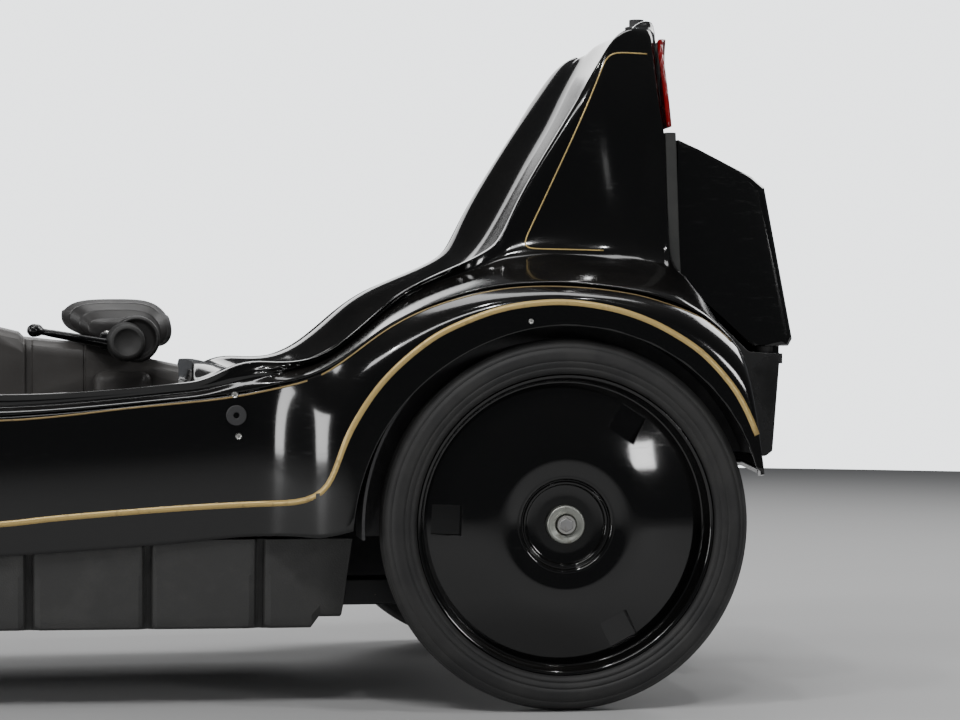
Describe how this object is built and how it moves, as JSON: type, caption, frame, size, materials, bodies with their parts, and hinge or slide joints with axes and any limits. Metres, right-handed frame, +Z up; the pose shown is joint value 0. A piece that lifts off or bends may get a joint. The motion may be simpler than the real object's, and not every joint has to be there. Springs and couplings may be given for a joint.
{
  "type": "three-wheeled electric pedal car",
  "caption": "Low single-seat recumbent three-wheeler with one steered front wheel, arched rear wheels, pedal and electric drive, handlebar under the knees and a tail boot",
  "frame": {"origin": "middle of the length and width, on the floor", "axes": "the car faces -X, its left side is -Y, +Z is up"},
  "size_m": [1.8144, 0.744, 0.7922],
  "materials": {
    "gloss_black": "deep gloss black moulded plastic",
    "dark_plastic": "dark grey fine-grained plastic",
    "console_plastic": "brownish grey satin plastic",
    "frame_paint": "satin black paint on steel",
    "bare_steel": "plain zinc-plated steel",
    "battery_case": "plain battery case",
    "motor_case": "cast alloy case",
    "flange_grey": "mid grey plastic flange",
    "red_lens": "moulded red lens",
    "clear_lens": "clear ribbed lens",
    "tyre": "black rubber, plain ribbed",
    "wheel_black": "gloss black moulded wheel",
    "grip_rubber": "matt black grip"
  },
  "bodies": {
    "body": {"lower_shell": "gloss_black", "upper_shell": "gloss_black", "undertray": "dark_plastic", "centre_console": "console_plastic", "chassis_beam": "frame_paint", "steering_head": "frame_paint", "crank_bearing": "bare_steel", "column_bearing": "bare_steel", "rear_axle": "bare_steel", "axle_bracket_left": "frame_paint", "axle_bracket_right": "frame_paint", "battery": "battery_case", "motor_gearbox": "motor_case", "arch_liner_left": "dark_plastic", "arch_liner_right": "dark_plastic", "boot_frame": "flange_grey", "boot_bin": "dark_plastic", "tail_lamp": "red_lens", "lamp_housing": "dark_plastic", "mast_socket": "dark_plastic", "headlamp_housing": "dark_plastic", "headlamp_lens": "clear_lens", "mirror_boss_left": "dark_plastic", "mirror_boss_right": "dark_plastic", "boot_hinges": "frame_paint"},
    "fork_assembly": {"fork": "frame_paint", "front_axle": "bare_steel"},
    "front_wheel_assembly": {"front_tyre": "tyre", "front_wheel": "wheel_black"},
    "rear_wheel_assembly_left": {"rear_tyre_left": "tyre", "rear_wheel_left": "wheel_black", "hub_cap_left": "bare_steel"},
    "rear_wheel_assembly_right": {"rear_tyre_right": "tyre", "rear_wheel_right": "wheel_black", "hub_cap_right": "bare_steel"},
    "handlebar_assembly": {"handlebar": "frame_paint", "handlebar_cover": "dark_plastic", "grip_left": "grip_rubber", "grip_right": "grip_rubber", "brake_lever_left": "bare_steel", "brake_lever_right": "bare_steel"},
    "cranks": {"crankset": "bare_steel"},
    "left_pedal": {"pedal_left": "dark_plastic"},
    "right_pedal": {"pedal_right": "dark_plastic"},
    "lid": {"boot_lid": "gloss_black"}
  },
  "joints": [
    {"name": "steer", "type": "hinge", "parent": "body", "child": "fork_assembly", "pos_m": [-0.69725, 0, 0.1585], "axis": [0.2079, 0, 0.9781], "range_deg": [-25, 25]},
    {"name": "front_wheel_spin", "type": "hinge", "parent": "fork_assembly", "child": "front_wheel_assembly", "pos_m": [-0.69725, 0, 0.1585], "axis": [0, 1, 0], "continuous": true},
    {"name": "rear_wheel_spin_left", "type": "hinge", "parent": "body", "child": "rear_wheel_assembly_left", "pos_m": [0.60875, -0.345, 0.203], "axis": [0, 1, 0], "continuous": true},
    {"name": "rear_wheel_spin_right", "type": "hinge", "parent": "body", "child": "rear_wheel_assembly_right", "pos_m": [0.60875, 0.345, 0.203], "axis": [0, 1, 0], "continuous": true},
    {"name": "handlebar_turn", "type": "hinge", "parent": "body", "child": "handlebar_assembly", "pos_m": [0.13075, 0, 0.4], "axis": [0, 0, 1], "range_deg": [-25, 25]},
    {"name": "crank_spin", "type": "hinge", "parent": "body", "child": "cranks", "pos_m": [-0.41025, 0, 0.342], "axis": [0, 1, 0], "continuous": true},
    {"name": "pedal_spin_left", "type": "hinge", "parent": "cranks", "child": "left_pedal", "pos_m": [-0.54525, -0.127, 0.342], "axis": [0, 1, 0], "continuous": true},
    {"name": "pedal_spin_right", "type": "hinge", "parent": "cranks", "child": "right_pedal", "pos_m": [-0.27525, 0.127, 0.342], "axis": [0, 1, 0], "continuous": true},
    {"name": "boot_lid_hinge", "type": "hinge", "parent": "body", "child": "lid", "pos_m": [0.90075, 0, 0.381], "axis": [0, 1, 0], "range_deg": [0, 95]}
  ],
  "couplings": [
    {"joint": "handlebar_turn", "follows": "steer", "ratio": 1}
  ]
}
